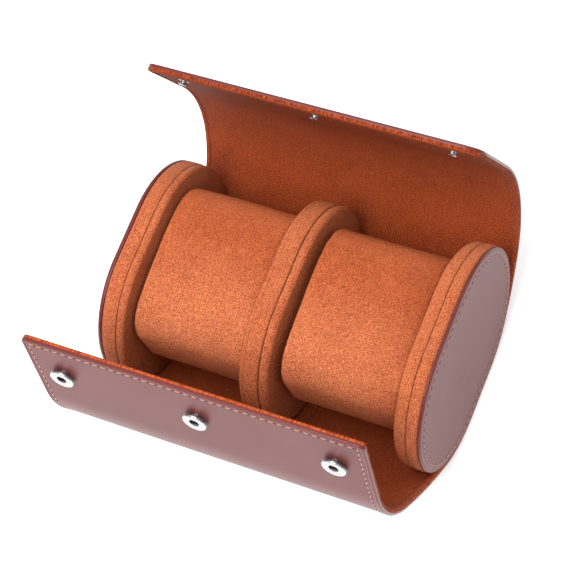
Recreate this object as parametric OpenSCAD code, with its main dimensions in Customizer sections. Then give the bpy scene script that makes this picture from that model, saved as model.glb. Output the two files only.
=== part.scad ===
// Two-compartment watch box: a stadium-ended roll case in leather with a suede lining.
// Frame: +X along the length, +Y towards the taller cover flap, +Z up.
// The origin is the centre of the flat underside.

/* [Box] */
// Length over the two end panels
box_l = 170; // [150:1:190]
// Height of the end panels
panel_h = 86; // [80:1:92]
// Depth of the end panels, front to back
panel_d = 113; // [106:1:120]
// Thickness of a padded end assembly
end_t = 15; // [12:0.5:18]
// How much thinner the right end's pad is
right_end_thinner = 1.5; // [0:0.5:3]
// Depth of the leather cap on each end
cap_depth = 2.5; // [2:0.5:6]
// Radius of the soft inner edge of the pads
pad_edge_r = 3.5; // [2:0.5:5]

/* [Divider] */
// Thickness of the padded divider
divider_t = 15; // [11:0.5:18]
// How much smaller the divider's outline is than the end panels', all round
divider_inset = 0.9; // [0.5:0.1:3]
// Offset of the divider from mid-length
divider_x = -0.6; // [-3:0.1:3]

/* [Cushions] */
// Length of a cushion along X
cushion_l = 60; // [50:0.5:61]
// Depth of a cushion, front to back
cushion_d = 84; // [70:1:88]
// Height of a cushion
cushion_h = 57; // [44:1:60]
// Height of the cushion's underside above the table
cushion_z = 24.5; // [16:0.5:28]
// Corner radius of the cushion's section
cushion_r = 20; // [12:1:24]
// Clearance between a cushion and its right-hand neighbour
cushion_gap = 0.3; // [0.3:0.1:1]

/* [Wrap sheet] */
// Width of the sheet, along X
wrap_w = 171.6; // [168:0.2:196]
// Thickness of the outer leather
leather_t = 1.3; // [1:0.1:1.4]
// Thickness of the suede lining
lining_t = 1.7; // [1.6:0.1:2]
// Gap between two strips at a crease
crease_gap = 0.8; // [0.7:0.1:1.2]

/* [Front flap] */
// Angle over which the sheet hugs the end panels
front_hug_a = 41; // [30:1:60]
// Radius of the nearly straight stretch
front_flare_r = 230; // [120:5:400]
// Angle turned by the nearly straight stretch
front_flare_a = 12.3; // [8:0.1:15]
// Radius of the curled stretch
front_curl_r = 57; // [50:0.5:70]
// Angle turned by the curled stretch
front_curl_a = 48.7; // [40:0.1:52]
// Straight length up to the front edge
front_tip_l = 47; // [42:0.5:55]
// Corner radius of the front edge
front_corner_r = 3; // [1:0.5:10]

/* [Back flap] */
// Angle over which the sheet hugs the end panels
back_hug_a = 32; // [25:1:60]
// Radius of the nearly straight stretch
back_flare_r = 172; // [120:1:300]
// Angle turned by the nearly straight stretch
back_flare_a = 10; // [6:0.1:12]
// Radius of the curled stretch
back_curl_r = 67.5; // [60:0.5:80]
// Angle turned by the curled stretch
back_curl_a = 65; // [55:0.1:68]
// Straight length up to the back edge
back_tip_l = 47.5; // [44:0.5:55]
// Corner radius of the back edge
back_corner_r = 9; // [3:0.5:20]

/* [Snaps] */
// Distance between neighbouring snaps
snap_pitch = 69; // [50:0.5:75]
// Distance from the front edge to the sockets
socket_edge = 23.5; // [22:0.1:26]
// Distance from the back edge to the studs
stud_edge = 13.5; // [12:0.1:16]
// Diameter of a socket's disc
socket_d = 12; // [10:0.5:14]
// Height of a socket above the leather
socket_h = 3; // [2.6:0.1:3]
// Diameter of the hole in a socket
socket_bore_d = 5.2; // [4.8:0.1:6]
// Diameter of a stud's head
stud_head_d = 4.4; // [4:0.1:4.6]

/* [Hidden] */
wrap_t = leather_t + lining_t;
panel_r = panel_h / 2;
flat_half = panel_d / 2 - panel_r;
panel_z = wrap_t + panel_r;
skin_t = 1.2;
eps = 0.01;

// Leather, suede and metal tones
leather_color = [0.60, 0.44, 0.43];
suede_color = [0.78, 0.40, 0.23];
board_color = [0.72, 0.66, 0.56];
foam_color = [0.93, 0.90, 0.82];
metal_color = [0.78, 0.77, 0.74];

// Each flap is [side of the box, [radius, angle] stretches outward from the flat, tip length].
// Radii are to the outer face of the sheet.
FRONT = [-1, [[panel_r + wrap_t, front_hug_a], [front_flare_r, front_flare_a],
              [front_curl_r, front_curl_a]], front_tip_l];
BACK = [1, [[panel_r + wrap_t, back_hug_a], [back_flare_r, back_flare_a],
            [back_curl_r, back_curl_a]], back_tip_l];

// Crease places along the middle of the sheet, counted from where it leaves the end panels
FRONT_CREASES = [8, 24, 40, 58, 80, 102];
BACK_CREASES = [8, 24, 41, 60, 84, 98, 112];

FRONT_N = len(FRONT_CREASES);
BACK_N = len(BACK_CREASES);
SIDES = ["left", "right"];

// ---- the sheet's curve -------------------------------------------------------------------

// Radius of the middle of the sheet in a stretch given to its outer face
function mid_r(st) = st[0] - wrap_t / 2;
// Length of a stretch along the middle of the sheet
function mid_len(st) = mid_r(st) * st[1] * PI / 180;
// End of an arc of radius r and angle a that starts at p = [y, z, direction]
function along_arc(p, r, a) = [
    p[0] + r * (sin(p[2] + a) - sin(p[2])),
    p[1] + r * (cos(p[2]) - cos(p[2] + a)),
    p[2] + a
];
function along_line(p, d) = [p[0] + d * cos(p[2]), p[1] + d * sin(p[2]), p[2]];
// Place [y, z, direction] at length s past the start p of stretch i
function walk(flap, s, p, i = 0) =
    i == len(flap[1]) ? along_line(p, s)
    : s <= mid_len(flap[1][i])
        ? along_arc(p, mid_r(flap[1][i]), s / mid_r(flap[1][i]) * 180 / PI)
    : walk(flap, s - mid_len(flap[1][i]), along_arc(p, mid_r(flap[1][i]), flap[1][i][1]), i + 1);
// Length from the end of the flat underside to where the sheet leaves the end panels
function hug_len(flap) = mid_len(flap[1][0]);
function place_at(flap, s) = walk(flap, hug_len(flap) + s, [flat_half, wrap_t / 2, 0]);
// Length from where the sheet leaves the end panels to its edge
function free_len(flap) = mid_len(flap[1][1]) + mid_len(flap[1][2]) + flap[2];
// A point of that place, moved by c towards the inside of the box
function shifted(p, c) = [p[0] - c * sin(p[2]), p[1] + c * cos(p[2])];

// ---- helpers -----------------------------------------------------------------------------

// Extrudes a [y, z] outline along X, centred
module along_x(l) {
    rotate([90, 0, 90])
        linear_extrude(l, center = true)
            children();
}

// Moves [x, along the sheet, towards the inside] to length s of a flap
module on_flap(flap, s) {
    p = place_at(flap, s);
    mirror([0, flap[0] < 0 ? 1 : 0, 0])
        translate([0, p[0], p[1]])
            rotate([p[2], 0, 0])
                children();
}

// One curved strip of the sheet, between lengths s0 and s1 and depths c0 and c1
module curved_strip(flap, s0, s1, c0, c1) {
    steps = 8;
    run = [for (k = [0:steps]) place_at(flap, s0 + (s1 - s0) * k / steps)];
    mirror([0, flap[0] < 0 ? 1 : 0, 0])
        along_x(wrap_w)
            polygon(concat(
                [for (k = [0:steps]) shifted(run[k], c0)],
                [for (k = [steps:-1:0]) shifted(run[k], c1)]));
}

// The flat strip at a flap's edge, with rounded corners
module tip_strip(flap, s0, corner_r, c0, c1) {
    l = free_len(flap) - s0 - crease_gap / 2;
    on_flap(flap, s0)
        translate([0, crease_gap / 2, c0])
            linear_extrude(c1 - c0) {
                translate([-wrap_w / 2, 0])
                    square([wrap_w, l - corner_r]);
                translate([corner_r - wrap_w / 2, 0])
                    square([wrap_w - 2 * corner_r, l]);
                for (side = [-1, 1])
                    translate([side * (wrap_w / 2 - corner_r), l - corner_r])
                        circle(corner_r, $fn = 48);
            }
}

// Strip i of a flap, counted from 1 at the root
module flap_layer(flap, creases, corner_r, i, c0, c1) {
    n = len(creases);
    if (i == n)
        tip_strip(flap, creases[n - 1], corner_r, c0, c1);
    else
        curved_strip(flap, creases[i - 1] + crease_gap / 2, creases[i] - crease_gap / 2, c0, c1);
}

// Depths of the leather and of the lining, from the middle of the sheet
leather_c = [-wrap_t / 2, leather_t - wrap_t / 2];
lining_c = [leather_t - wrap_t / 2, wrap_t / 2];

// Section of the sheet's fixed middle: the flat underside and the hugging stretches
module base_section(c0, c1) {
    steps = 24;
    back_end = hug_len(BACK) + BACK_CREASES[0] - crease_gap / 2;
    front_end = hug_len(FRONT) + FRONT_CREASES[0] - crease_gap / 2;
    start = [flat_half, wrap_t / 2, 0];
    back_run = [for (k = [0:steps]) walk(BACK, back_end * k / steps, start)];
    front_run = [for (k = [0:steps]) walk(FRONT, front_end * k / steps, start)];
    function flipped(q) = [-q[0], q[1]];
    polygon(concat(
        [for (k = [steps:-1:0]) flipped(shifted(front_run[k], c0))],
        [for (k = [0:steps]) shifted(back_run[k], c0)],
        [for (k = [steps:-1:0]) shifted(back_run[k], c1)],
        [for (k = [0:steps]) flipped(shifted(front_run[k], c1))]));
}

// Outline of an end panel, set in by d
module stadium(d) {
    for (side = [-1, 1])
        translate([side * flat_half, 0])
            circle(panel_r - d, $fn = 96);
    square([2 * flat_half, 2 * (panel_r - d)], center = true);
}

// Half section of a pad of radius r and thickness w with a soft edge of radius e
module pad_half(r, w, e) {
    square([r - e, w]);
    square([r, w - e]);
    translate([r - e, w - e])
        circle(e, $fn = 32);
}

// A stadium pad set in by d, w thick, rounded by e at its far face
module stadium_pad(d, w, e) {
    for (side = [-1, 1])
        translate([side * flat_half, 0, 0])
            rotate_extrude($fn = 96)
                intersection() {
                    pad_half(panel_r - d, w, e);
                    square([panel_r, w]);
                }
    rotate([90, 0, 90])
        linear_extrude(2 * flat_half, center = true)
            for (m = [0, 1])
                mirror([m, 0])
                    intersection() {
                        pad_half(panel_r - d, w, e);
                        square([panel_r, w]);
                    }
}

// Lays pads with their thickness along X, starting at x and growing towards the side
module standing(side, x, z = panel_z) {
    mirror([side == "left" ? 1 : 0, 0, 0])
        translate([x, 0, z])
            rotate([90, 0, 90])
                children();
}

// ---- ends --------------------------------------------------------------------------------

// Leather cap over the outside of an end, turned over its edge
module end_cap(side) {
    color(leather_color)
        standing(side, box_l / 2 - cap_depth)
            difference() {
                linear_extrude(cap_depth)
                    stadium(0);
                translate([0, 0, -eps])
                    linear_extrude(cap_depth - skin_t + eps)
                        stadium(skin_t);
            }
}

function end_w(side) = end_t - (side == "right" ? right_end_thinner : 0);

// Stiff board inside the cap
module end_board(side) {
    board_t = cap_depth - skin_t;
    color(board_color)
        standing(side, box_l / 2 - cap_depth)
            linear_extrude(board_t)
                stadium(skin_t);
}

// Suede cup over the inside of an end
module end_suede(side) {
    w = end_w(side) - cap_depth;
    color(suede_color)
        standing(side, box_l / 2 - cap_depth)
            mirror([0, 0, 1])
                difference() {
                    stadium_pad(0, w, pad_edge_r);
                    translate([0, 0, -eps])
                        stadium_pad(skin_t, w - skin_t + eps, pad_edge_r - skin_t);
                }
}

// Foam that fills the suede cup
module end_foam(side) {
    w = end_w(side) - cap_depth;
    color(foam_color)
        standing(side, box_l / 2 - cap_depth)
            mirror([0, 0, 1])
                stadium_pad(skin_t, w - skin_t, pad_edge_r - skin_t);
}

// ---- divider -----------------------------------------------------------------------------

divider_board_t = 2;
// The divider rests on the lining like the ends do
divider_z = panel_z - divider_inset;

// Lays one half of the divider on its board's face
module divider_half(side) {
    out = side == "left" ? -1 : 1;
    translate([divider_x + out * divider_board_t / 2, 0, 0])
        standing(side, 0, divider_z)
            children();
}

module divider_board() {
    color(board_color)
        translate([divider_x, 0, divider_z])
            along_x(divider_board_t)
                stadium(divider_inset);
}

module divider_suede(side) {
    w = (divider_t - divider_board_t) / 2;
    color(suede_color)
        divider_half(side)
            difference() {
                stadium_pad(divider_inset, w, pad_edge_r);
                translate([0, 0, -eps])
                    stadium_pad(divider_inset + skin_t, w - skin_t + eps, pad_edge_r - skin_t);
            }
}

module divider_foam(side) {
    w = (divider_t - divider_board_t) / 2;
    color(foam_color)
        divider_half(side)
            stadium_pad(divider_inset + skin_t, w - skin_t, pad_edge_r - skin_t);
}

// ---- cushions ----------------------------------------------------------------------------

// Right-hand face of each cushion, against the divider or the right end
function cushion_x(side) = cushion_gap * -1 +
    (side == "left" ? divider_x - divider_t / 2 : box_l / 2 - end_w(side));

// Cushion section, set in by d
module cushion_section(d) {
    w = cushion_d / 2 - cushion_r;
    h = cushion_h / 2 - cushion_r;
    translate([0, cushion_z + cushion_h / 2]) {
        for (sy = [-1, 1])
            for (sz = [-1, 1])
                translate([sy * w, sz * h])
                    circle(cushion_r - d, $fn = 64);
        square([2 * w, cushion_h - 2 * d], center = true);
        square([cushion_d - 2 * d, 2 * h], center = true);
    }
}

// A slice of the cushion between distances a and b from its right-hand face
module cushion_slice(side, a, b, d) {
    translate([cushion_x(side) - (a + b) / 2, 0, 0])
        along_x(b - a)
            cushion_section(d);
}

module cushion_core(side) {
    color(foam_color)
        cushion_slice(side, skin_t, cushion_l - skin_t, skin_t);
}

// Wrap and right-hand face of a cushion's cover, sewn as one cup
module cushion_cover(side) {
    color(suede_color)
        difference() {
            cushion_slice(side, 0, cushion_l - skin_t, 0);
            cushion_slice(side, skin_t, cushion_l, skin_t);
        }
}

// Left-hand face of a cushion's cover, sewn on last
module cushion_end(side) {
    color(suede_color)
        cushion_slice(side, cushion_l - skin_t, cushion_l, 0);
}

// ---- base --------------------------------------------------------------------------------

base_board_t = 0.8;

module base_leather() {
    color(leather_color)
        along_x(wrap_w)
            base_section(leather_c[0], leather_c[1]);
}

module base_board() {
    color(board_color)
        translate([0, 0, leather_t + base_board_t / 2])
            cube([box_l - 12, 2 * flat_half, base_board_t], center = true);
}

module base_lining() {
    color(suede_color)
        difference() {
            along_x(wrap_w)
                base_section(lining_c[0], lining_c[1]);
            translate([0, 0, leather_t + base_board_t / 2 - eps])
                cube([box_l - 12, 2 * flat_half, base_board_t + 2 * eps], center = true);
        }
}

// ---- snaps -------------------------------------------------------------------------------

rivet_d = 3.2;
flange_d = 8;
flange_t = 0.5;
socket_neck_d = 8;
socket_neck_h = 1;
socket_floor = 0.5;
spring_wire_d = 0.5;
spring_gap = 3.3;
spring_depth = 0.6;
stud_neck_d = 3;
stud_head_h = 1;
stud_h = 2.2;

// Repeats a snap piece three times, at distance e from a flap's edge
module per_snap(flap, e) {
    for (k = [-1, 0, 1])
        on_flap(flap, free_len(flap) - e)
            translate([k * snap_pitch, 0, 0])
                children();
}

// Moves to the leather's outer face, with +Z out of the box
module on_leather() {
    translate([0, 0, -wrap_t / 2])
        mirror([0, 0, 1])
            children();
}

// Centre lines of the two spring wires
module spring_wires(d, l) {
    for (side = [-1, 1])
        translate([0, side * (spring_gap + spring_wire_d) / 2, socket_h - spring_depth])
            rotate([0, 90, 0])
                cylinder(d = d, h = l, center = true, $fn = 24);
}

module snap_sockets() {
    color(metal_color)
        per_snap(FRONT, socket_edge)
            on_leather()
                difference() {
                    union() {
                        cylinder(d = socket_neck_d, h = socket_neck_h + eps, $fn = 64);
                        translate([0, 0, socket_neck_h])
                            cylinder(d = socket_d, h = socket_h - socket_neck_h, $fn = 96);
                    }
                    translate([0, 0, socket_floor])
                        cylinder(d = socket_bore_d, h = socket_h, $fn = 64);
                    translate([0, 0, -eps])
                        cylinder(d = rivet_d, h = socket_h, $fn = 48);
                    spring_wires(spring_wire_d + 0.1, 8.2);
                }
}

module snap_springs() {
    color("silver")
        per_snap(FRONT, socket_edge)
            on_leather()
                spring_wires(spring_wire_d, 8);
}

module socket_rivets() {
    color(metal_color)
        per_snap(FRONT, socket_edge)
            on_leather() {
                translate([0, 0, -leather_t - flange_t])
                    cylinder(d = flange_d, h = flange_t, $fn = 64);
                translate([0, 0, -leather_t - eps])
                    cylinder(d = rivet_d, h = leather_t + socket_floor + eps, $fn = 48);
                translate([0, 0, socket_floor])
                    cylinder(d = rivet_d + 1, h = 0.3, $fn = 48);
            }
}

module snap_studs() {
    color(metal_color)
        per_snap(BACK, stud_edge)
            translate([0, 0, wrap_t / 2]) {
                translate([0, 0, -flange_t])
                    cylinder(d = flange_d, h = flange_t, $fn = 64);
                translate([0, 0, -eps])
                    cylinder(d = stud_neck_d, h = stud_h, $fn = 48);
                translate([0, 0, stud_h - stud_head_h])
                    cylinder(d1 = stud_neck_d + 0.6, d2 = stud_head_d, h = stud_head_h / 2, $fn = 48);
                translate([0, 0, stud_h - stud_head_h / 2])
                    cylinder(d1 = stud_head_d, d2 = stud_neck_d, h = stud_head_h / 2, $fn = 48);
            }
}

module stud_rivets() {
    post_l = lining_t - 2 * flange_t;
    color(metal_color)
        per_snap(BACK, stud_edge)
            translate([0, 0, wrap_t / 2 - lining_t]) {
                cylinder(d = flange_d, h = flange_t, $fn = 64);
                translate([0, 0, flange_t - eps])
                    cylinder(d = rivet_d, h = post_l + eps, $fn = 48);
            }
}

// ---- flaps -------------------------------------------------------------------------------

// Leather strip i of the front flap, with the socket rivets' holes in the last one
module front_leather(i) {
    color(leather_color)
        difference() {
            flap_layer(FRONT, FRONT_CREASES, front_corner_r, i, leather_c[0], leather_c[1]);
            if (i == FRONT_N)
                per_snap(FRONT, socket_edge)
                    cylinder(d = rivet_d, h = 3 * wrap_t, center = true, $fn = 48);
        }
}

// Lining strip i of the front flap, with pockets for the rivets' flanges in the last one
module front_lining(i) {
    color(suede_color)
        difference() {
            flap_layer(FRONT, FRONT_CREASES, front_corner_r, i, lining_c[0], lining_c[1]);
            if (i == FRONT_N)
                per_snap(FRONT, socket_edge)
                    translate([0, 0, lining_c[0] - eps])
                        cylinder(d = flange_d, h = flange_t + eps, $fn = 64);
        }
}

module back_leather(i) {
    color(leather_color)
        flap_layer(BACK, BACK_CREASES, back_corner_r, i, leather_c[0], leather_c[1]);
}

// Lining strip i of the back flap, with the studs' and rivets' seats in the last one
module back_lining(i) {
    color(suede_color)
        difference() {
            flap_layer(BACK, BACK_CREASES, back_corner_r, i, lining_c[0], lining_c[1]);
            if (i == BACK_N)
                per_snap(BACK, stud_edge) {
                    translate([0, 0, lining_c[0] - eps])
                        cylinder(d = flange_d, h = flange_t + eps, $fn = 64);
                    translate([0, 0, lining_c[1] - flange_t])
                        cylinder(d = flange_d, h = flange_t + eps, $fn = 64);
                    cylinder(d = rivet_d, h = 3 * wrap_t, center = true, $fn = 48);
                }
        }
}

// ---- assembly ----------------------------------------------------------------------------

base_leather();
base_lining();
base_board();
for (s = SIDES) {
    end_cap(s);
    end_board(s);
    end_foam(s);
    end_suede(s);
    divider_foam(s);
    divider_suede(s);
    cushion_core(s);
    cushion_cover(s);
    cushion_end(s);
}
divider_board();
for (i = [1:FRONT_N]) {
    front_leather(i);
    front_lining(i);
}
for (i = [1:BACK_N]) {
    back_leather(i);
    back_lining(i);
}
snap_sockets();
snap_springs();
socket_rivets();
snap_studs();
stud_rivets();
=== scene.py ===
"""Watch box: a leather roll case with a suede lining, two cushions, a padded divider and three snaps."""

import math

import bpy
from mathutils import Matrix, Vector, noise


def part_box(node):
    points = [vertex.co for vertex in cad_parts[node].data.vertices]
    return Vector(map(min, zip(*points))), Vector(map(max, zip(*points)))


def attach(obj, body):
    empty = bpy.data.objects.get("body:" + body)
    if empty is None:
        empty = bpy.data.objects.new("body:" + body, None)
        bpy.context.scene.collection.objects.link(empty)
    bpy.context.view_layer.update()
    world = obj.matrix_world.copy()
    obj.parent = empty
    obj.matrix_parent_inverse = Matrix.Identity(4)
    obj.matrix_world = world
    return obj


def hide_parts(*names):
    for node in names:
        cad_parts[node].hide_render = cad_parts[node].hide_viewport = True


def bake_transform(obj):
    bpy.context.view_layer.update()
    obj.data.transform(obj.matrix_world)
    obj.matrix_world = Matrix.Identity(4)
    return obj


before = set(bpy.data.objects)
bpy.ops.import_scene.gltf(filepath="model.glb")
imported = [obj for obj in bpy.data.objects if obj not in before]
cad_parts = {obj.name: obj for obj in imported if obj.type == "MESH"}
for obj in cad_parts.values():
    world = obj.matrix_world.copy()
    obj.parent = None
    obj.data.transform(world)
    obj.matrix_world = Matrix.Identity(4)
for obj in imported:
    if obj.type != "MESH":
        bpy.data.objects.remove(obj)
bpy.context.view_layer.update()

MM = 0.001


# ---- sizes, in millimetres ---------------------------------------------------------------

PANEL_R = 43.0
FLAT_HALF = 13.5
LEATHER_T = 1.3
LINING_T = 1.7
SHEET_T = LEATHER_T + LINING_T
PANEL_Z = SHEET_T + PANEL_R
SHEET_W = 171.6
SEAM_INSET = 3.5
STITCH_PITCH = 4.2
# Sides of a whole turn of the stadium's two round ends
ROUND_SIDES = 160
SNAP_PLACES = (-69, 0, 69)
SOCKET_FROM_EDGE = 23.5
STUD_FROM_EDGE = 13.5

# The divider is two cups that meet at join; its outline is smaller than the ends' by inset
DIVIDER = dict(left=-8.1, join=2.4, right=6.9, inset=0.9)

# Each flap: side of the box, (outer radius, degrees) stretches after the flat, straight tip,
# creases counted from where the sheet leaves the ends, corner radius
FLAPS = {
    "front": dict(side=-1, bends=[(46, 41), (230, 12.3), (57, 48.7)], tip=47,
                  creases=[8, 24, 40, 58, 80, 102], corner=3),
    "back": dict(side=1, bends=[(46, 32), (172, 10), (67.5, 65)], tip=47.5,
                 creases=[8, 24, 41, 60, 84, 98, 112], corner=9),
}

# Each end, counted out from the middle of the box: face of the leather, width of its band, seam and
# inner face of the pad, rounding of the pad's inner edge, rounding of the leather's rim
ENDS = {
    "left": dict(side=-1, face=84.5, band=2.5, seam=74.0, inner=70.0, turn=1.7, rim=1.9),
    "right": dict(side=1, face=86.4, band=1.6, seam=78.8, inner=71.5, turn=4.6, rim=1.3),
}


def stretch_length(bend):
    """Length of a bent stretch along the middle of the sheet."""
    return (bend[0] - SHEET_T / 2) * math.radians(bend[1])


for flap in FLAPS.values():
    flap["hug"] = FLAT_HALF + stretch_length(flap["bends"][0])
    flap["length"] = FLAT_HALF + sum(map(stretch_length, flap["bends"])) + flap["tip"]


def flap_of(t):
    return FLAPS["back" if t >= 0 else "front"]


def sheet_place(t):
    """Where the middle of the sheet lies, t mm from the centre of the underside: y, z, slope."""
    flap = flap_of(t)
    left, y, z, slope = abs(t), 0.0, SHEET_T / 2, 0.0
    step = min(left, FLAT_HALF)
    y += step
    left -= step
    for radius, degrees in flap["bends"]:
        mid = radius - SHEET_T / 2
        turn = min(left / mid, math.radians(degrees))
        y += mid * (math.sin(slope + turn) - math.sin(slope))
        z += mid * (math.cos(slope) - math.cos(slope + turn))
        slope += turn
        left -= turn * mid
    y += left * math.cos(slope)
    z += left * math.sin(slope)
    return y, z, slope


def rolled(x, t, depth):
    """A point of the flat sheet after rolling; depth is counted inwards from the middle."""
    y, z, slope = sheet_place(t)
    side = flap_of(t)["side"]
    return Vector((x, side * (y - depth * math.sin(slope)), z + depth * math.cos(slope))) * MM


def sheet_frame(x, t, depth, heading, outward):
    """A frame on the rolled sheet: its X runs along heading in the flat cut, its Z leaves the surface."""
    _, _, slope = sheet_place(t)
    flap_side = flap_of(t)["side"]
    # unit vectors of growing x and growing t, and the inward normal
    along_x = Vector((1, 0, 0))
    along_t = Vector((0, math.cos(slope), flap_side * math.sin(slope)))
    inward = Vector((0, -flap_side * math.sin(slope), math.cos(slope)))
    forward = along_x * math.cos(heading) + along_t * math.sin(heading)
    up = -inward if outward else inward
    across = up.cross(forward)
    m = Matrix((forward, across, up)).transposed().to_4x4()
    m.translation = rolled(x, t, depth)
    return m


# ---- small helpers -----------------------------------------------------------------------

def deselect():
    if bpy.context.object and bpy.context.object.mode != "OBJECT":
        bpy.ops.object.mode_set(mode="OBJECT")
    bpy.ops.object.select_all(action="DESELECT")


def just_added(name):
    obj = bpy.context.object
    obj.name = name
    obj.data.name = name
    return obj


def edit(obj, select="DESELECT"):
    bpy.context.view_layer.objects.active = obj
    bpy.ops.object.mode_set(mode="EDIT")
    bpy.ops.mesh.select_all(action=select)


def done_editing():
    bpy.ops.object.mode_set(mode="OBJECT")


def select_where(obj, test):
    """In edit mode, selects the vertices that pass the test."""
    bpy.ops.mesh.select_mode(type="VERT")
    bpy.ops.mesh.select_all(action="DESELECT")
    done_editing()
    for v in obj.data.vertices:
        v.select = test(v.co)
    bpy.ops.object.mode_set(mode="EDIT")


def outward_normals(obj):
    edit(obj, "SELECT")
    bpy.ops.mesh.normals_make_consistent(inside=False)
    done_editing()


def smooth(obj, degrees=40):
    deselect()
    obj.select_set(True)
    bpy.context.view_layer.objects.active = obj
    bpy.ops.object.shade_smooth_by_angle(angle=math.radians(degrees))


def joined(name, pieces):
    deselect()
    for piece in pieces:
        piece.select_set(True)
    bpy.context.view_layer.objects.active = pieces[0]
    bpy.ops.object.join()
    return just_added(name)


def copies_at(name, model, places):
    """Copies a model to each place, each copy with its own mesh, and joins them."""
    copies = []
    for place in places:
        mesh = model.data.copy()
        mesh.transform(place)
        copy = bpy.data.objects.new(name, mesh)
        bpy.context.collection.objects.link(copy)
        copies.append(copy)
    return joined(name, copies)


def lerp(a, b, k):
    return a + (b - a) * k


def bump_at(d, centre, width):
    return math.exp(-((d - centre) / width) ** 2)


# ---- materials ---------------------------------------------------------------------------

def new_group(name, inputs, outputs):
    tree = bpy.data.node_groups.new(name, "ShaderNodeTree")
    for label, kind, value in inputs:
        socket = tree.interface.new_socket(label, in_out="INPUT", socket_type=kind)
        if value is not None:
            socket.default_value = value
    for label, kind in outputs:
        tree.interface.new_socket(label, in_out="OUTPUT", socket_type=kind)
    return tree, tree.nodes.new("NodeGroupInput"), tree.nodes.new("NodeGroupOutput")


def node(tree, kind, settings=None, **links):
    """Adds a node; a link is either a socket to join or a plain value."""
    n = tree.nodes.new(kind)
    for key, value in (settings or {}).items():
        setattr(n, key, value)
    for key, value in links.items():
        socket = n.inputs[int(key[1:])] if key[0] == "i" and key[1:].isdigit() \
            else n.inputs[key.replace("_", " ")]
        if isinstance(value, bpy.types.NodeSocket):
            tree.links.new(value, socket)
        else:
            socket.default_value = value
    return n


def math_node(tree, operation, a, b=0.0, c=None):
    links = {"i0": a, "i1": b}
    if c is not None:
        links["i2"] = c
    return node(tree, "ShaderNodeMath", {"operation": operation}, **links).outputs[0]


def mix_colour(tree, factor, a, b, blend="MIX"):
    n = node(tree, "ShaderNodeMix", {"data_type": "RGBA", "blend_type": blend})
    for socket, value in ((n.inputs[0], factor), (n.inputs[6], a), (n.inputs[7], b)):
        if isinstance(value, bpy.types.NodeSocket):
            tree.links.new(value, socket)
        else:
            socket.default_value = value
    return n.outputs[2]


def ramp(tree, value, stops):
    n = node(tree, "ShaderNodeValToRGB", Fac=value)
    ramp_stops = n.color_ramp.elements
    while len(ramp_stops) < len(stops):
        ramp_stops.new(0.5)
    for element, (place, grey) in zip(ramp_stops, stops):
        element.position = place
        element.color = (grey, grey, grey, 1)
    return n.outputs[0]


def srgb(r, g, b):
    """Linear colour from display values of 0 to 255."""
    def linear(v):
        v /= 255
        return v / 12.92 if v <= 0.04045 else ((v + 0.055) / 1.055) ** 2.4
    return (linear(r), linear(g), linear(b), 1)


def make_nap_group():
    """Suede nap: brushed patches, pile clumps and single fibres as a colour mask and a height."""
    tree, inp, out = new_group(
        "suede_nap",
        [("Vector", "NodeSocketVector", None), ("Brushed", "NodeSocketFloat", 0.5),
         ("Fibre", "NodeSocketFloat", 0.5)],
        [("Tone", "NodeSocketFloat"), ("Height", "NodeSocketFloat")])
    vector = inp.outputs["Vector"]
    patches = node(tree, "ShaderNodeTexNoise", Vector=vector, Scale=45.0, Detail=3.0,
                   Roughness=0.55, Distortion=0.6)
    streaked = node(tree, "ShaderNodeMapping", Vector=vector, Scale=(1.0, 0.35, 1.0))
    streaks = node(tree, "ShaderNodeTexNoise", Vector=streaked.outputs[0], Scale=700.0,
                   Detail=3.0, Roughness=0.6, Distortion=0.8)
    clumps = node(tree, "ShaderNodeTexNoise", Vector=vector, Scale=1500.0, Detail=2.0, Roughness=0.6)
    fibres = node(tree, "ShaderNodeTexNoise", Vector=vector, Scale=2800.0, Detail=1.0, Roughness=0.6)
    broad = math_node(tree, "MULTIPLY", math_node(tree, "SUBTRACT", patches.outputs[0], 0.5),
                      inp.outputs["Brushed"])
    fine = math_node(tree, "ADD",
                     math_node(tree, "MULTIPLY", math_node(tree, "SUBTRACT", streaks.outputs[0], 0.5), 0.25),
                     math_node(tree, "ADD",
                               math_node(tree, "SUBTRACT", clumps.outputs[0], 0.5),
                               math_node(tree, "MULTIPLY",
                                         math_node(tree, "SUBTRACT", fibres.outputs[0], 0.5), 1.2)))
    fine = math_node(tree, "MULTIPLY", fine, inp.outputs["Fibre"])
    tone = math_node(tree, "ADD", math_node(tree, "ADD", broad, fine), 0.5)
    tree.links.new(tone, out.inputs["Tone"])
    tree.links.new(fine, out.inputs["Height"])
    return tree


def make_grain_group():
    """Smooth leather: faint pores and soft cloudy shade."""
    tree, inp, out = new_group(
        "leather_grain",
        [("Vector", "NodeSocketVector", None), ("Pores", "NodeSocketFloat", 1.0)],
        [("Tone", "NodeSocketFloat"), ("Height", "NodeSocketFloat")])
    vector = inp.outputs["Vector"]
    clouds = node(tree, "ShaderNodeTexNoise", Vector=vector, Scale=28.0, Detail=3.0, Roughness=0.5)
    cells = node(tree, "ShaderNodeTexVoronoi", {"feature": "SMOOTH_F1"}, Vector=vector, Scale=1900.0)
    skin = node(tree, "ShaderNodeTexNoise", Vector=vector, Scale=900.0, Detail=4.0, Roughness=0.6)
    height = math_node(tree, "MULTIPLY",
                       math_node(tree, "ADD", cells.outputs["Distance"], skin.outputs[0]),
                       inp.outputs["Pores"])
    tone = math_node(tree, "ADD", math_node(tree, "MULTIPLY", clouds.outputs[0], 0.8),
                     math_node(tree, "MULTIPLY", skin.outputs[0], 0.2))
    tree.links.new(tone, out.inputs["Tone"])
    tree.links.new(height, out.inputs["Height"])
    return tree


def new_material(name):
    m = bpy.data.materials.new(name)
    m.use_nodes = True
    tree = m.node_tree
    shader = tree.nodes["Principled BSDF"]
    return m, tree, shader


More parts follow.
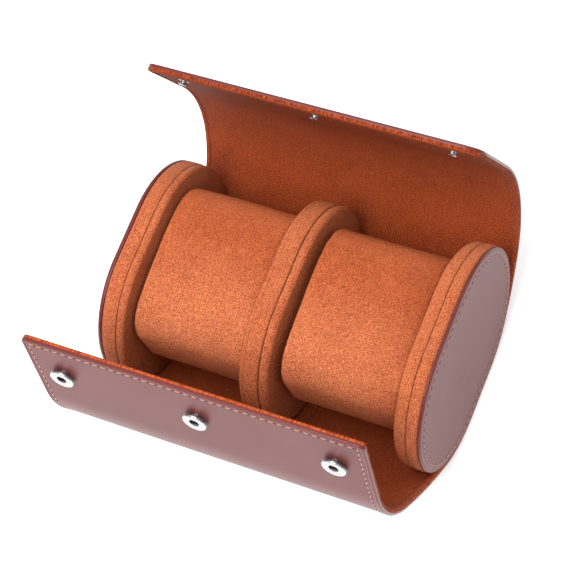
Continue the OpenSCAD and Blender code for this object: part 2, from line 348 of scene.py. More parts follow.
def pattern_vector(tree, coordinates):
    """Object coordinates, or the flat cut's own map in metres."""
    if coordinates == "cut":
        return node(tree, "ShaderNodeUVMap", {"uv_map": "cut"}).outputs[0]
    return node(tree, "ShaderNodeTexCoord").outputs["Object"]


def suede(name, coordinates="object", light=(222, 138, 98), dark=(150, 66, 34), brushed=0.3, fibre=1.6,
          sheen=0.3, gloss=0.25, painted_light_and_shade=()):
    m, tree, shader = new_material(name)
    nap = node(tree, "ShaderNodeGroup", {"node_tree": NAP}, Vector=pattern_vector(tree, coordinates),
               Brushed=brushed, Fibre=fibre)
    tone = ramp(tree, nap.outputs["Tone"], [(0.24, 0.0), (0.76, 1.0)])
    colour = mix_colour(tree, tone, srgb(*dark), srgb(*light))
    place = node(tree, "ShaderNodeSeparateXYZ", Vector=pattern_vector(tree, coordinates))
    # Painted light and shade: each entry multiplies the colour by its tint, faded in between two coordinates
    # on one axis.
    for axis, start, end, tint in painted_light_and_shade:
        painted_light_mask = node(tree, "ShaderNodeMapRange", {"interpolation_type": "SMOOTHSTEP"},
                       Value=place.outputs[axis], From_Min=start, From_Max=end)
        colour = mix_colour(tree, painted_light_mask.outputs[0], colour, (*tint, 1), "MULTIPLY")
    seam = node(tree, "ShaderNodeAttribute", {"attribute_name": "seam"}).outputs["Fac"]
    broken = node(tree, "ShaderNodeTexNoise", Vector=pattern_vector(tree, coordinates), Scale=520.0,
                  Detail=2.0)
    broken = ramp(tree, broken.outputs[0], [(0.36, 0.35), (0.5, 1.0)])
    colour = mix_colour(tree, math_node(tree, "MULTIPLY", seam, broken), colour, srgb(84, 30, 14))
    tree.links.new(colour, shader.inputs["Base Color"])
    bump = node(tree, "ShaderNodeBump", Height=nap.outputs["Height"], Strength=0.75, Distance=0.0008)
    tree.links.new(bump.outputs[0], shader.inputs["Normal"])
    shader.inputs["Roughness"].default_value = 0.68
    shader.inputs["Specular IOR Level"].default_value = gloss
    shader.inputs["Diffuse Roughness"].default_value = 1.0
    shader.inputs["Sheen Weight"].default_value = sheen
    shader.inputs["Sheen Roughness"].default_value = 0.4
    shader.inputs["Sheen Tint"].default_value = srgb(244, 150, 104)
    return m


def leather(name, coordinates="object", light=(108, 55, 55), dark=(98, 46, 44), pores=0.5):
    m, tree, shader = new_material(name)
    grain = node(tree, "ShaderNodeGroup", {"node_tree": GRAIN},
                 Vector=pattern_vector(tree, coordinates), Pores=pores)
    tone = ramp(tree, grain.outputs["Tone"], [(0.3, 0.0), (0.7, 1.0)])
    colour = mix_colour(tree, tone, srgb(*dark), srgb(*light))
    edge = node(tree, "ShaderNodeAttribute", {"attribute_name": "edge"}).outputs["Fac"]
    colour = mix_colour(tree, edge, colour, srgb(104, 44, 40))
    tree.links.new(colour, shader.inputs["Base Color"])
    rough = math_node(tree, "SUBTRACT", 0.42, math_node(tree, "MULTIPLY", edge, 0.2))
    tree.links.new(rough, shader.inputs["Roughness"])
    bump = node(tree, "ShaderNodeBump", Height=grain.outputs["Height"], Strength=0.12, Distance=0.0002)
    tree.links.new(bump.outputs[0], shader.inputs["Normal"])
    shader.inputs["Specular IOR Level"].default_value = 0.25
    shader.inputs["Coat Weight"].default_value = 0.03
    shader.inputs["Coat Roughness"].default_value = 0.25
    return m


def thread(name, colour, deep):
    m, tree, shader = new_material(name)
    vector = pattern_vector(tree, "object")
    twist = node(tree, "ShaderNodeTexWave", {"bands_direction": "DIAGONAL"}, Vector=vector,
                 Scale=900.0, Distortion=1.5, Detail=1.0)
    tree.links.new(mix_colour(tree, twist.outputs["Fac"], srgb(*deep), srgb(*colour)),
                   shader.inputs["Base Color"])
    bump = node(tree, "ShaderNodeBump", Height=twist.outputs["Fac"], Strength=0.5, Distance=0.0002)
    tree.links.new(bump.outputs[0], shader.inputs["Normal"])
    shader.inputs["Roughness"].default_value = 0.6
    shader.inputs["Sheen Weight"].default_value = 0.2
    return m


def metal(name, tint, roughness):
    m, tree, shader = new_material(name)
    vector = pattern_vector(tree, "object")
    handling = node(tree, "ShaderNodeTexNoise", Vector=vector, Scale=700.0, Detail=5.0, Roughness=0.7)
    tree.links.new(mix_colour(tree, handling.outputs[0], srgb(*[v * 0.9 for v in tint]), srgb(*tint)),
                   shader.inputs["Base Color"])
    rough = node(tree, "ShaderNodeMapRange", Value=handling.outputs[0], To_Min=roughness * 0.6,
                 To_Max=roughness * 1.5)
    tree.links.new(rough.outputs[0], shader.inputs["Roughness"])
    bump = node(tree, "ShaderNodeBump", Height=handling.outputs[0], Strength=0.06, Distance=0.0001)
    tree.links.new(bump.outputs[0], shader.inputs["Normal"])
    shader.inputs["Metallic"].default_value = 1.0
    return m


def plain_fill(name, light, dark, scale):
    """Board or foam that only shows when the box is taken apart; also the flat dark fills that are painted
    shade in the needle holes and in the snap sockets' bores.
    """
    m, tree, shader = new_material(name)
    cells = node(tree, "ShaderNodeTexNoise", Vector=pattern_vector(tree, "object"), Scale=scale,
                 Detail=6.0, Roughness=0.7)
    tree.links.new(mix_colour(tree, cells.outputs[0], srgb(*dark), srgb(*light)),
                   shader.inputs["Base Color"])
    bump = node(tree, "ShaderNodeBump", Height=cells.outputs[0], Strength=0.4, Distance=0.0004)
    tree.links.new(bump.outputs[0], shader.inputs["Normal"])
    shader.inputs["Roughness"].default_value = 0.95
    return m


NAP = make_nap_group()
GRAIN = make_grain_group()
LEATHER_SHEET = leather("leather_sheet", "cut")
LEATHER_CAP = leather("leather_cap")
# Painted light and shade on the suede, faded in along one axis: axis, from, to (m), and what it does to the
# colour
# Painted shade on the lining: it grows darker up the back flap towards its top edge, in two steps.
SUEDE_LINING = suede("suede_lining", "cut", light=(214, 102, 53), dark=(144, 51, 18), brushed=0.7,
                     fibre=4.5, sheen=0.1, gloss=0.15,
                     painted_light_and_shade=[("Y", 0.33, 0.39, (0.78, 0.72, 0.7)), ("Y", 0.41, 0.47, (0.84, 0.8, 0.78))])
SUEDE_PAD = suede("suede_pad", light=(218, 128, 82), dark=(154, 66, 32))
# Painted light and shade on the cushions: a painted highlight, lighter and paler towards the front, and
# painted shade on the right cushion's right end, next to the pad.
SUEDE_CUSHION = suede("suede_cushion", light=(206, 109, 62), dark=(143, 55, 23), fibre=1.45,
                      painted_light_and_shade=[("Y", 0.02, -0.034, (1.3, 1.8, 2.4)), ("X", 0.045, 0.068, (0.86, 0.78, 0.74))])
THREAD = thread("stitch_thread", (204, 152, 138), (146, 100, 92))
THREAD_RUST = thread("stitch_thread_rust", (150, 66, 34), (90, 32, 16))
HOLE_SHADE = plain_fill("needle_hole_shade", (52, 20, 18), (28, 10, 10), 900.0)
NICKEL = metal("nickel", (186, 186, 187), 0.25)
SPRING_STEEL = metal("spring_steel", (96, 92, 90), 0.3)
BORE = plain_fill("bore_shadow", (34, 31, 30), (18, 16, 16), 900.0)
BOARD = plain_fill("board", (200, 184, 158), (168, 150, 124), 600.0)
FOAM = plain_fill("foam", (242, 236, 218), (214, 204, 182), 900.0)


def finish_piece(obj, material, body=None, nodes=()):
    if material is not None:
        obj.data.materials.clear()
        obj.data.materials.append(material)
    if body:
        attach(obj, body)
    if nodes:
        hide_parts(*nodes)
    return obj


# ---- the wrap sheet ----------------------------------------------------------------------

# Distances of the rows of vertices from a hemmed edge, and from a cut between two pieces
EDGE_LADDER = [0, 0.12, 0.35, 0.7, 1.05, 1.35, 1.6, 1.85, 2.1, 2.5, 3.0, 3.3, 3.5, 3.7, 4.0, 4.6, 6, 9, 13]
CUT_LADDER = [0, 0.08, 0.4]
ROW_STEP = 1.6
COLUMN_STEP = 6.0


def spaced(start, end, step):
    n = max(1, round((end - start) / step))
    return [lerp(start, end, k / n) for k in range(n + 1)]


def column_stops():
    half = SHEET_W / 2
    left = [-half + d for d in EDGE_LADDER]
    right = [half - d for d in reversed(EDGE_LADDER)]
    return left[:-1] + spaced(left[-1], right[0], COLUMN_STEP) + right[1:]


def row_stops(near, far, open_end):
    """Rows across a piece, counted away from the centre: close together at a cut or an edge."""
    near_rows = [near + d for d in CUT_LADDER]
    far_rows = [far - d for d in reversed(EDGE_LADDER if open_end else CUT_LADDER)]
    return near_rows[:-1] + spaced(near_rows[-1], far_rows[0], ROW_STEP) + far_rows[1:]


def round_corner(x, t, flap):
    """Moves a point of the square cut onto the cut with rounded corners; also gives the edge distance."""
    half, length, r = SHEET_W / 2, flap["length"], flap["corner"]
    a, b = (abs(x) - (half - r)) / r, (abs(t) - (length - r)) / r
    if a > 0 and b > 0:
        d = r * (1 - max(a, b))
        x = math.copysign(half - r + r * a * math.sqrt(1 - b * b / 2), x)
        t = math.copysign(length - r + r * b * math.sqrt(1 - a * a / 2), t)
        return x, t, d
    return x, t, min(half - abs(x), length - abs(t))


def leather_relief(d):
    """How far the leather's outer face stands out, d mm from its edge: turned hem, crease, stitch line."""
    corner = 0.45
    rounding = -corner * (1 - math.sqrt(max(0, 1 - (1 - d / corner) ** 2))) if d < corner else 0
    return rounding + 0.28 * bump_at(d, 0.9, 0.6) - 0.16 * bump_at(d, 1.85, 0.28) \
        - 0.22 * bump_at(d, SEAM_INSET, 0.42)


def lining_relief(d):
    """The same for the suede: a soft edge, a plump hem and a valley under the stitches."""
    corner = 1.0
    rounding = -corner * (1 - math.sqrt(max(0, 1 - (1 - d / corner) ** 2))) if d < corner else 0
    return rounding + 0.4 * bump_at(d, 1.7, 1.1) - 0.5 * bump_at(d, SEAM_INSET, 0.7)


def flat_slab(name, columns, rows):
    """A grid of the given columns and rows, with a second skin extruded from it at z = 1."""
    deselect()
    bpy.ops.mesh.primitive_grid_add(x_subdivisions=len(columns) - 1, y_subdivisions=len(rows) - 1, size=1)
    obj = just_added(name)
    for v in obj.data.vertices:
        v.co.x = columns[round((v.co.x + 0.5) * (len(columns) - 1))]
        v.co.y = rows[round((v.co.y + 0.5) * (len(rows) - 1))]
    edit(obj, "SELECT")
    bpy.ops.mesh.extrude_region_move(TRANSFORM_OT_translate={"value": (0, 0, 1)})
    done_editing()
    return obj


def sheet_layer(name, near, far, open_end, side, outer):
    """One layer of the wrap between two cuts, modelled flat and then rolled to its curve."""
    rows = [side * r for r in row_stops(near, far, open_end)]
    if side < 0:
        rows.reverse()
    return rolled_layer(name, rows, outer)


def rolled_layer(name, rows, outer):
    obj = flat_slab(name, column_stops(), rows)
    mesh = obj.data
    while mesh.uv_layers:
        mesh.uv_layers.remove(mesh.uv_layers[0])
    cut_map = mesh.uv_layers.new(name="cut")
    for loop, uv in zip(mesh.loops, cut_map.data):
        flat = mesh.vertices[loop.vertex_index].co
        uv.uv = (flat.x * MM, flat.y * MM + 0.3)
    edge = mesh.attributes.new("edge", "FLOAT", "POINT")
    for v, tint in zip(mesh.vertices, edge.data):
        x, t, d = round_corner(v.co.x, v.co.y, flap_of(v.co.y))
        top = v.co.z > 0.5
        if outer:
            depth = -SHEET_T / 2 + LEATHER_T if top else -SHEET_T / 2 - leather_relief(d)
            tint.value = max(bump_at(d, 0, 0.5), 0.8 * bump_at(d, 1.85, 0.3))
        else:
            depth = SHEET_T / 2 + lining_relief(d) if top else SHEET_T / 2 - LINING_T
        v.co = rolled(x, t, depth)
    outward_normals(obj)
    smooth(obj, 50)
    return obj


def cuts_of(flap):
    """Where the flap's sheet is divided: half-way between creases, so that each piece holds one crease."""
    places = [flap["hug"] + c for c in flap["creases"]]
    first = places[0] - 6.5
    between = [(a + b) / 2 for a, b in zip(places, places[1:])]
    return places, [first] + between + [flap["length"]]


def strip_body(flap_name, i):
    """Name of the body after i creases."""
    count = len(FLAPS[flap_name]["creases"])
    if i == 0:
        return "case"
    return f"{flap_name}_edge_strip" if i == count else f"{flap_name}_strip_{i}"


def blend_over(obj, flap_name, i, crease, near, far):
    """Bakes the piece's transform into its mesh; nothing bends it over crease i of its flap."""
    side = FLAPS[flap_name]["side"]
    reach = min(crease - near, far - crease, 9.0) - 0.3
    strip_body(flap_name, i - 1)
    strip_body(flap_name, i)
    rolled(0, side * (crease - reach), 0)
    rolled(0, side * (crease + reach), 0)
    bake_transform(obj)


# ---- stitches ----------------------------------------------------------------------------

def make_stitch():
    """One stitch lying along X: a plump thread that dives into a needle hole at each end; each hole is a flat
    dark disc, painted shade for the hole's depth.
    """
    thick, length = 0.42, 2.9
    deselect()
    bpy.ops.mesh.primitive_cylinder_add(vertices=7, radius=thick, depth=length, end_fill_type="TRIFAN")
    loop = just_added("stitch_thread_loop")
    edit(loop, "SELECT")
    bpy.ops.transform.rotate(value=math.pi / 2, orient_axis="Y", center_override=(0, 0, 0))
    for k in (-1.1, -0.7, 0, 0.7, 1.1):
        bpy.ops.mesh.select_all(action="SELECT")
        bpy.ops.mesh.bisect(plane_co=(k, 0, 0), plane_no=(1, 0, 0))
    done_editing()
    for v in loop.data.vertices:
        along = v.co.x / (length / 2)
        taper = math.sqrt(max(0.05, 1 - 0.8 * along ** 4))
        v.co.y *= taper * 0.95
        v.co.z = v.co.z * taper * 0.8 + 0.18 - 0.45 * along ** 2
    loop.data.materials.append(THREAD)
    deselect()
    # The needle hole is a flat dark disc at the surface: painted shade for the hole's depth.
    hole_x = STITCH_PITCH / 2
    bpy.ops.mesh.primitive_uv_sphere_add(segments=7, ring_count=4, radius=thick, location=(hole_x, 0, 0))
    hole = just_added("stitch_hole_shade")
    bpy.ops.object.transform_apply(location=True)
    for v in hole.data.vertices:
        v.co.z *= 0.12
        v.co.x = (v.co.x - hole_x) * 1.5 + hole_x
    hole.data.materials.append(HOLE_SHADE)
    stitch = joined("stitch", [loop, hole])
    for v in stitch.data.vertices:
        v.co *= MM
    return stitch


STITCH = make_stitch()


def seam_stitches(name, places, thread_material):
    """Copies the stitch to each place, as one piece."""
    seam = copies_at(name, STITCH, places)
    seam.data.materials[0] = thread_material
    deselect()
    seam.select_set(True)
    bpy.ops.object.shade_smooth()
    return seam


def seam_walk():
    """Flat places and headings of the stitches round the whole sheet, SEAM_INSET in from its edge."""
    half = SHEET_W / 2 - SEAM_INSET
    outline = []
    for side, start, flap in ((1, 0, "back"), (-1, 90, "back"), (-1, 180, "front"), (1, 270, "front")):
        r = max(FLAPS[flap]["corner"] - SEAM_INSET, 0.01)
        end = FLAPS[flap]["length"] - SEAM_INSET
        centre = side * (half - r), FLAPS[flap]["side"] * (end - r)
        for k in range(13):
            a = math.radians(start + 90 * k / 12)
            outline.append((centre[0] + r * math.cos(a), centre[1] + r * math.sin(a)))
    outline.append(outline[0])
    total = sum(math.dist(a, b) for a, b in zip(outline, outline[1:]))
    count = round(total / STITCH_PITCH)
    step, due, walked = total / count, 0.0, 0.0
    for a, b in zip(outline, outline[1:]):
        gap = math.dist(a, b)
        while gap > 0 and due <= walked + gap:
            k = (due - walked) / gap
            yield lerp(a[0], b[0], k), lerp(a[1], b[1], k), math.atan2(b[1] - a[1], b[0] - a[0])
            due += step
        walked += gap


SEAM = list(seam_walk())


def stitches_between(low, high):
    """Frames of the stitches on both faces whose flat place lies between low and high."""
    outside, inside = [], []
    for x, t, heading in SEAM:
        if low <= t < high:
            outside.append(sheet_frame(x, t, -SHEET_T / 2 + 0.16, heading, True))
            inside.append(sheet_frame(x, t, SHEET_T / 2 - 0.55, heading, False))
    return outside, inside


def make_wrap():
    bounds = {}
    for flap_name, flap in FLAPS.items():
        side, count = flap["side"], len(flap["creases"])
        creases, cuts = cuts_of(flap)
        bounds[flap_name] = cuts[0]
        for i in range(1, count + 1):
            near, far, last = cuts[i - 1], cuts[i], i == count
            pieces = [
                finish_piece(sheet_layer(f"{flap_name}_flap_leather_{i}", near, far, last, side, True),
                             LEATHER_SHEET, nodes=[f"{flap_name}_leather_{i}"]),
                finish_piece(sheet_layer(f"{flap_name}_flap_lining_{i}", near, far, last, side, False),
                             SUEDE_LINING, nodes=[f"{flap_name}_lining_{i}"]),
            ]
            low, high = sorted((side * near, side * far + (side if last else 0)))
            outside, inside = stitches_between(low, high)
            pieces.append(finish_piece(
                seam_stitches(f"{flap_name}_flap_stitches_{i}", outside, THREAD), None))
            pieces.append(finish_piece(
                seam_stitches(f"{flap_name}_lining_stitches_{i}", inside, THREAD_RUST), None))
            for piece in pieces:
                blend_over(piece, flap_name, i, creases[i - 1], near, far)
    low, high = -bounds["front"], bounds["back"]
    rows = row_stops(low, high, False)
    base_leather = finish_piece(rolled_layer("base_leather_sheet", rows, True), LEATHER_SHEET,
                                "case", ["base_leather"])
    base_lining = finish_piece(rolled_layer("base_lining_sheet", rows, False), SUEDE_LINING,
                               "case", ["base_lining", "base_board"])
    outside, inside = stitches_between(low, high)
    finish_piece(seam_stitches("base_stitches", outside, THREAD), None, "case")
    finish_piece(seam_stitches("base_lining_stitches", inside, THREAD_RUST), None, "case")


# ---- pieces built up in rings ------------------------------------------------------------

def ringed(name, rings, half_flat, radius, sides):
    """A stadium or round solid from (inset, height) rings, starting with a flat back face."""
    deselect()
    inset, height = rings[0]
    bpy.ops.mesh.primitive_circle_add(vertices=sides, radius=radius - inset, fill_type="NGON",
                                      location=(0, 0, height), rotation=(0, 0, math.pi / sides))
    obj = just_added(name)
    bpy.ops.object.transform_apply(location=True, rotation=True, scale=True)
    edit(obj, "SELECT")
    for (last_inset, last_height), (inset, height) in zip(rings, rings[1:]):
        bpy.ops.mesh.extrude_region_move(TRANSFORM_OT_translate={"value": (0, 0, height - last_height)})
        shrink = (radius - inset) / (radius - last_inset)
        bpy.ops.transform.resize(value=(shrink, shrink, 1), center_override=(0, 0, height))
    if half_flat:
        for way in (-1, 1):
            select_where(obj, lambda co: co.x * way > 0)
            bpy.ops.transform.translate(value=(way * half_flat, 0, 0))
    done_editing()
    outward_normals(obj)
    return obj


def edge_round(radius, at_height, steps=6, start_inset=0.0):
    """Rings of a rounded edge whose top lies at at_height."""
    return [(start_inset + radius * (1 - math.cos(a)), at_height - radius * (1 - math.sin(a)))
            for a in (math.pi / 2 * k / steps for k in range(steps + 1))]


def stand_on_end(obj, side, x, z=PANEL_Z):
    """Turns a ringed piece so that it grows along X towards side, from x."""
    if side > 0:
        turn = Matrix(((0, 0, 1), (1, 0, 0), (0, 1, 0)))
    else:
        turn = Matrix(((0, 0, -1), (-1, 0, 0), (0, 1, 0)))
    m = turn.to_4x4()
    m.translation = Vector((x, 0, z))
    obj.data.transform(Matrix.Scale(MM, 4) @ m)
    return obj


def ring_outline(inset, radius):
    """Walks a stadium outline at STITCH_PITCH: local x, y and heading."""
    r = radius - inset
    straight, bend = 2 * FLAT_HALF, math.pi * r
    total = 2 * (straight + bend)
    count = round(total / STITCH_PITCH)
    for k in range(count):
        s = total * k / count
        if s < straight:
            yield -FLAT_HALF + s, -r, 0.0
        elif s < straight + bend:
            a = -math.pi / 2 + (s - straight) / r
            yield FLAT_HALF + r * math.cos(a), r * math.sin(a), a + math.pi / 2
        elif s < 2 * straight + bend:
            yield FLAT_HALF - (s - straight - bend), r, math.pi
        else:
            a = math.pi / 2 + (s - 2 * straight - bend) / r
            yield -FLAT_HALF + r * math.cos(a), r * math.sin(a), a + math.pi / 2


def make_end(label):
    """Leather cap with a rolled, stitched rim, and the suede cup that faces the cushions."""
    end = ENDS[label]
    side, band, stitch_inset = end["side"], end["band"], 4.2
    base = end["face"] - band
    rings = [(1.9, -0.5), (0.8, -0.1), (0.2, 0.15)] + edge_round(end["rim"], band, start_inset=0.1)
    rings += [(2.3, band), (2.6, band - 0.08), (2.9, band), (stitch_inset - 0.35, band),
              (stitch_inset - 0.15, band - 0.2), (stitch_inset + 0.2, band - 0.2), (stitch_inset + 0.5, band)]
    rings += [(inset, band) for inset in (6, 9, 16, 26, 38, 42)]
    cap = ringed(f"end_leather_{label}", rings, FLAT_HALF, PANEL_R, ROUND_SIDES)
    edge = cap.data.attributes.new("edge", "FLOAT", "POINT")
    for v, tint in zip(cap.data.vertices, edge.data):
        inset = PANEL_R - math.hypot(max(abs(v.co.x) - FLAT_HALF, 0), v.co.y)
        tint.value = max(0.8 * bump_at(inset, 0, 0.6), 0.5 * bump_at(inset, 2.6, 0.3))
    stand_on_end(cap, side, side * base)
    smooth(cap, 35)
    finish_piece(cap, LEATHER_CAP, "case", [f"end_cap_{label}"])
    places = []
    for x, y, heading in ring_outline(stitch_inset, PANEL_R):
        forward = Vector((0, side * math.cos(heading), math.sin(heading)))
        up = Vector((side, 0, 0))
        m = Matrix((forward, up.cross(forward), up)).transposed().to_4x4()
        m.translation = Vector((side * (end["face"] - 0.1), side * x, PANEL_Z + y)) * MM
        places.append(m)
    finish_piece(seam_stitches(f"end_stitches_{label}", places, THREAD), None, "case")

    depth, seam = base - end["inner"], base - end["seam"]
    rings = [(2.4, 0.0), (1.0, 0.1), (0.35, 0.45), (0.0, 1.3), (-0.1, seam / 2), (0.0, seam - 1.2),
             (0.15, seam - 0.5), (0.2, seam - 0.25), (0.95, seam), (0.3, seam + 0.25), (0.25, seam + 0.6)]
    rings += edge_round(end["turn"], depth, 7, start_inset=0.25)
    rings += [(inset, depth) for inset in (7, 12, 24, 36, 42)]
    pad = ringed(f"end_pad_{label}", rings, FLAT_HALF, PANEL_R, ROUND_SIDES)
    stand_on_end(pad, -side, side * base)
    darken_seam(pad, side * end["seam"], 0.16)
    soften(pad, 0.16, 40.0, seed=3 + side)
    smooth(pad, 60)
    finish_piece(pad, SUEDE_PAD, "case", [f"end_suede_{label}", f"end_foam_{label}"])


def soften(obj, amount, scale, seed):
    """Hand-made unevenness: moves the surface along its normals by a slow noise, in mm."""
    for v in obj.data.vertices:
        shift = noise.noise(v.co * scale + Vector((seed * 7.3, seed * 1.7, 0)))
        v.co += v.normal * shift * amount * MM


def darken_seam(pad, seam_x, width):
    """Marks the sunk seam, a plane of constant x, so that the nap gives way to dark thread there."""
    seam = pad.data.attributes.new("seam", "FLOAT", "POINT")
    for v, mark in zip(pad.data.vertices, seam.data):
        mark.value = bump_at(v.co.x / MM, seam_x, width)


def divider_cover(label, side, rings):
    """One cup of the divider, standing on the seam where the two meet."""
    radius = PANEL_R - DIVIDER["inset"]
    cover = ringed(f"divider_cover_{label}", rings, FLAT_HALF, radius, ROUND_SIDES)
    return stand_on_end(cover, side, DIVIDER["join"], PANEL_Z - DIVIDER["inset"])


def make_divider():
    """Two suede cups back to back: a wide left one and a narrow right one."""
    w = DIVIDER["join"] - DIVIDER["left"]
    rings = [(1.6, 0.0), (0.6, 0.12), (0.15, 0.45), (0.0, 1.2), (-0.1, w / 2), (0.0, w - 3.4), (0.1, w - 3.0),
             (0.35, w - 2.7), (0.15, w - 2.4)]
    rings += edge_round(1.8, w, 7, start_inset=0.15)
    rings += [(inset, w) for inset in (5, 12, 24, 36, 41)]
    wide = divider_cover("left", -1, rings)
    w = DIVIDER["right"] - DIVIDER["join"]
    rings = [(1.6, 0.0), (0.6, 0.12), (0.15, 0.45), (0.1, 1.0)]
    rings += edge_round(2.2, w, 8, start_inset=0.1)
    rings += [(inset, w) for inset in (5, 12, 24, 36, 41)]
    narrow = divider_cover("right", 1, rings)
    for piece, label, seed, extra in ((wide, "left", 11, ["divider_board"]), (narrow, "right", 17, [])):
        darken_seam(piece, DIVIDER["join"], 0.3)
        soften(piece, 0.16, 40.0, seed)
        smooth(piece, 60)
        finish_piece(piece, SUEDE_PAD, "case",
                     [f"divider_suede_{label}", f"divider_foam_{label}"] + extra)


# ---- cushions ----------------------------------------------------------------------------

def cushion_block(label, low, high):
    """The cushion before it is blown up: large rounds along X and small ones round its ends."""
    shrink = 0.3 * MM
    size = high - low
    deselect()
    bpy.ops.mesh.primitive_cube_add(size=1, location=(low + high) / 2)
    cushion = just_added(f"cushion_{label}_cover")
    cushion.scale = [s - 2 * shrink for s in size]
    bpy.ops.object.transform_apply(location=True, rotation=True, scale=True)
    edit(cushion)
    bpy.ops.mesh.select_mode(type="EDGE")
    done_editing()
    for e in cushion.data.edges:
        a, b = [cushion.data.vertices[i].co for i in e.vertices]
        e.select = abs(a.x - b.x) > size.x / 2
    bpy.ops.object.mode_set(mode="EDIT")
    bpy.ops.mesh.bevel(offset=19.5 * MM, segments=12)
    bpy.ops.mesh.select_mode(type="FACE")
    bpy.ops.mesh.select_all(action="DESELECT")
    done_editing()
    for face in cushion.data.polygons:
        face.select = abs(face.normal.x) > 0.9
    bpy.ops.object.mode_set(mode="EDIT")
    bpy.ops.mesh.bevel(offset=1.6 * MM, segments=3)
    done_editing()
    cushion.data.remesh_voxel_size = 2.2 * MM
    bpy.ops.object.voxel_remesh()
    return cushion


def blow_up(cushion, cap):
    """Cloth under pressure; a point moves at most cap, and only outwards along Y and Z."""
    rest = [(v.co.copy(), v.normal.copy()) for v in cushion.data.vertices]
    cloth = cushion.modifiers.new("cover_cloth", "CLOTH")
    cloth.settings.use_pressure = True
    cloth.settings.uniform_pressure_force = 4.0
    cloth.settings.effector_weights.gravity = 0.0
    cloth.settings.tension_stiffness = 30
    cloth.settings.compression_stiffness = 30
    cloth.settings.shear_stiffness = 20
    scene = bpy.context.scene
    for frame_number in range(1, 21):
        scene.frame_set(frame_number)
    settled = cushion.evaluated_get(bpy.context.evaluated_depsgraph_get())
    blown = [v.co.copy() for v in settled.data.vertices]
    cushion.modifiers.remove(cloth)
    scene.frame_set(1)
    for v, (start, normal), moved in zip(cushion.data.vertices, rest, blown):
        swell = max(0, min(cap, (moved - start).dot(normal)))
        v.co = start + Vector((0, normal.y, normal.z)) * swell


def crown(cushion, middle_z, high_z, seed):
    """Raises the top behind its middle, lets it fall towards the front, and adds a slow unevenness."""
    for v in cushion.data.vertices:
        y = v.co.y / MM
        lift = 1.4 * bump_at(y, 9, 14) - 1.6 * bump_at(y, -27, 11)
        top = max(0, (v.co.z - middle_z) / (high_z - middle_z))
        slump = noise.noise(v.co * 22 + Vector((seed, 0, 0))) * 0.6 * MM
        v.co.z += lift * top * MM + slump
        v.co.y += 0.5 * slump


def make_cushion(label, seed):
    """A foam block in a suede cover, blown up a little as cloth so that it crowns between its corners."""
    low, high = [Vector(c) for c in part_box(f"cushion_cover_{label}")]
    low.x = min(low.x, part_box(f"cushion_end_{label}")[0][0])
    if label == "right":
        low.x -= 0.6 * MM
    high.y -= 1.5 * MM
    cushion = cushion_block(label, low, high)
    blow_up(cushion, 0.8 * MM)
    crown(cushion, (low.z + high.z) / 2, high.z, seed)
    deselect()
    cushion.select_set(True)
    bpy.context.view_layer.objects.active = cushion
    rounding = cushion.modifiers.new("rounding", "SUBSURF")
    rounding.levels = rounding.render_levels = 1
    bpy.ops.object.modifier_apply(modifier=rounding.name)
    for v in cushion.data.vertices:
        v.co += v.normal * noise.noise(v.co * 1100) * 0.22 * MM
    bpy.ops.object.shade_smooth()
    finish_piece(cushion, SUEDE_CUSHION, f"cushion_{label}",
                 [f"cushion_{part}_{label}" for part in ("cover", "end", "core")])


# ---- snaps -------------------------------------------------------------------------------

def snap_places(flap_name, from_edge, outward):
    flap = FLAPS[flap_name]
    t = flap["side"] * (flap["length"] - from_edge)
    depth = -SHEET_T / 2 if outward else SHEET_T / 2
    return [sheet_frame(x, t, depth, 0.0, outward) for x in SNAP_PLACES]


def placed_copies(name, model, places, material, body, nodes):
    """Metal pieces modelled in millimetres, one at each snap."""
    model.data.transform(Matrix.Scale(MM, 4))
    piece = copies_at(name, model, places)
    smooth(piece, 35)
    bpy.data.objects.remove(model)
    return finish_piece(piece, material, body, nodes)


def socket_model():
    """A disc with a rolled rim and a groove round its side, open in the middle for the stud."""
    disc, bore, foot, top, bore_floor = 6.0, 2.45, 4.0, 3.0, 0.75
    rings = [(disc - foot, 0.0), (disc - foot, 0.95), (0.5, 1.05), (0.12, 1.2), (0.0, 1.4), (0.0, 1.85),
             (0.18, 1.95), (0.18, 2.1), (0.0, 2.2), (0.0, 2.55), (0.12, 2.8), (0.4, 2.96), (0.7, top),
             (2.6, top), (2.75, 2.96), (2.95, 2.86), (3.15, 2.86), (disc - bore, 2.75),
             (disc - bore, bore_floor)]
    socket = ringed("socket_model", rings, 0, disc, 64)
    socket.data.materials.append(NICKEL)
    socket.data.materials.append(BORE)
    for face in socket.data.polygons:
        inside = math.hypot(face.center.x, face.center.y) < bore + 0.05
        face.material_index = 1 if inside and face.center.z < 2.8 else 0
    return socket


def spring_model():
    """Two wires across the socket's bore, bowed towards the stud's neck."""
    wire_r, length, apart, step, rise = 0.28, 5.4, 3.8, 0.3, 2.4
    deselect()
    bpy.ops.mesh.primitive_cylinder_add(vertices=10, radius=wire_r, depth=length)
    wire = just_added("spring_model")
    edit(wire, "SELECT")
    bpy.ops.transform.rotate(value=math.pi / 2, orient_axis="Y", center_override=(0, 0, 0))
    for k in range(-8, 9):
        bpy.ops.mesh.select_all(action="SELECT")
        bpy.ops.mesh.bisect(plane_co=(k * step, 0, 0), plane_no=(1, 0, 0))
    bpy.ops.mesh.select_all(action="SELECT")
    bpy.ops.mesh.duplicate_move(TRANSFORM_OT_translate={"value": (0, apart, 0)})
    done_editing()
    for v in wire.data.vertices:
        side = 1 if v.co.y > apart / 2 else -1
        v.co.y += -apart / 2 - side * 0.08 * math.cos(v.co.x * 0.9)
        v.co.z += rise
    return wire


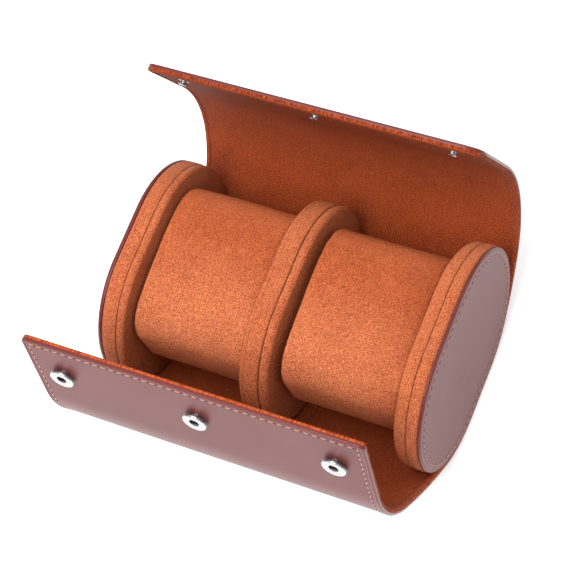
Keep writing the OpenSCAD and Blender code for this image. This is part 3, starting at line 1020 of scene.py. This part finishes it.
def stud_model():
    """A small flange, a neck and a rounded head."""
    flange, neck, head, rise = 2.8, 1.5, 2.2, 2.2
    rings = [(head - flange, -0.5), (head - flange, -0.12), (head - flange + 0.15, 0.02),
             (head - 1.9, 0.04), (head - neck, 0.12), (head - neck, 1.1), (0.15, 1.35), (0.0, 1.6),
             (0.1, 1.85), (0.5, 2.12), (1.2, rise), (1.9, rise)]
    return ringed("stud_model", rings, 0, head, 48)


def make_snaps():
    """Three sprung sockets on the front flap and three studs on the back flap."""
    sockets = snap_places("front", SOCKET_FROM_EDGE, True)
    studs = snap_places("back", STUD_FROM_EDGE, False)
    placed_copies("snap_socket_discs", socket_model(), sockets, None, "front_edge_strip", ["snap_sockets"])
    placed_copies("snap_socket_springs", spring_model(), sockets, SPRING_STEEL, "front_edge_strip",
                  ["snap_springs"])
    placed_copies("snap_stud_heads", stud_model(), studs, NICKEL, "back_edge_strip", ["snap_studs"])


def dress_cad_nodes():
    """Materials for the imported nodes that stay: boards, foams and rivets."""
    fill = {"board": BOARD, "foam": FOAM, "core": FOAM, "rivets": NICKEL}
    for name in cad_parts:
        obj = bpy.data.objects.get(name)
        if obj is None or obj.hide_render:
            continue
        for word, material in fill.items():
            if word in name:
                for place in obj.material_slots:
                    place.material = material


# ---- build -------------------------------------------------------------------------------

make_wrap()
for label in ENDS:
    make_end(label)
make_divider()
for label, seed in (("left", 2.0), ("right", 9.0)):
    make_cushion(label, seed)
make_snaps()
bpy.data.objects.remove(STITCH)
dress_cad_nodes()


# ---- studio ------------------------------------------------------------------------------

def make_floor():
    deselect()
    bpy.ops.mesh.primitive_plane_add(size=8, location=(0, 0, -0.0004))
    floor = just_added("studio_floor")
    m, _, shader = new_material("studio_white")
    shader.inputs["Base Color"].default_value = (0.93, 0.93, 0.93, 1)
    shader.inputs["Roughness"].default_value = 0.9
    shader.inputs["Emission Color"].default_value = (1, 1, 1, 1)
    shader.inputs["Emission Strength"].default_value = 0.42
    floor.data.materials.append(m)


def area_light(name, place, aim, size, power):
    light = bpy.data.lights.new(name, "AREA")
    light.shape = "SQUARE"
    light.size = size
    light.energy = power
    obj = bpy.data.objects.new(name, light)
    bpy.context.collection.objects.link(obj)
    obj.location = place
    obj.rotation_euler = (Vector(aim) - Vector(place)).to_track_quat("-Z", "Y").to_euler()


def make_camera():
    right = Vector((0.8945, 0.3714, -0.2488)).normalized()
    down = Vector((0.2657, -0.8893, -0.3721))
    forward = right.cross(down).normalized()
    down = forward.cross(right)
    camera = bpy.data.cameras.new("camera")
    camera.sensor_width = 36
    camera.lens = 133.8
    obj = bpy.data.objects.new("camera", camera)
    bpy.context.collection.objects.link(obj)
    m = Matrix((right, -down, -forward)).transposed().to_4x4()
    m.translation = Vector((0.3679, -0.2762, 0.9945))
    obj.matrix_world = m
    bpy.context.scene.camera = obj


def make_light():
    world = bpy.data.worlds.new("studio")
    world.use_nodes = True
    tree = world.node_tree
    height = node(tree, "ShaderNodeSeparateXYZ", Vector=node(tree, "ShaderNodeTexCoord").outputs["Generated"])
    tree.links.new(ramp(tree, height.outputs["Z"], [(0.05, 0.25), (0.55, 1.0)]),
                   tree.nodes["Background"].inputs["Color"])
    tree.nodes["Background"].inputs["Strength"].default_value = 0.85
    bpy.context.scene.world = world
    area_light("softbox_top", (-0.15, -0.1, 1.25), (0, 0, 0.05), 0.6, 6)
    area_light("softbox_front", (-0.05, -0.55, 1.1), (0, 0, 0.06), 0.6, 10)


make_floor()
make_light()
make_camera()
bpy.context.scene.view_settings.view_transform = "Standard"
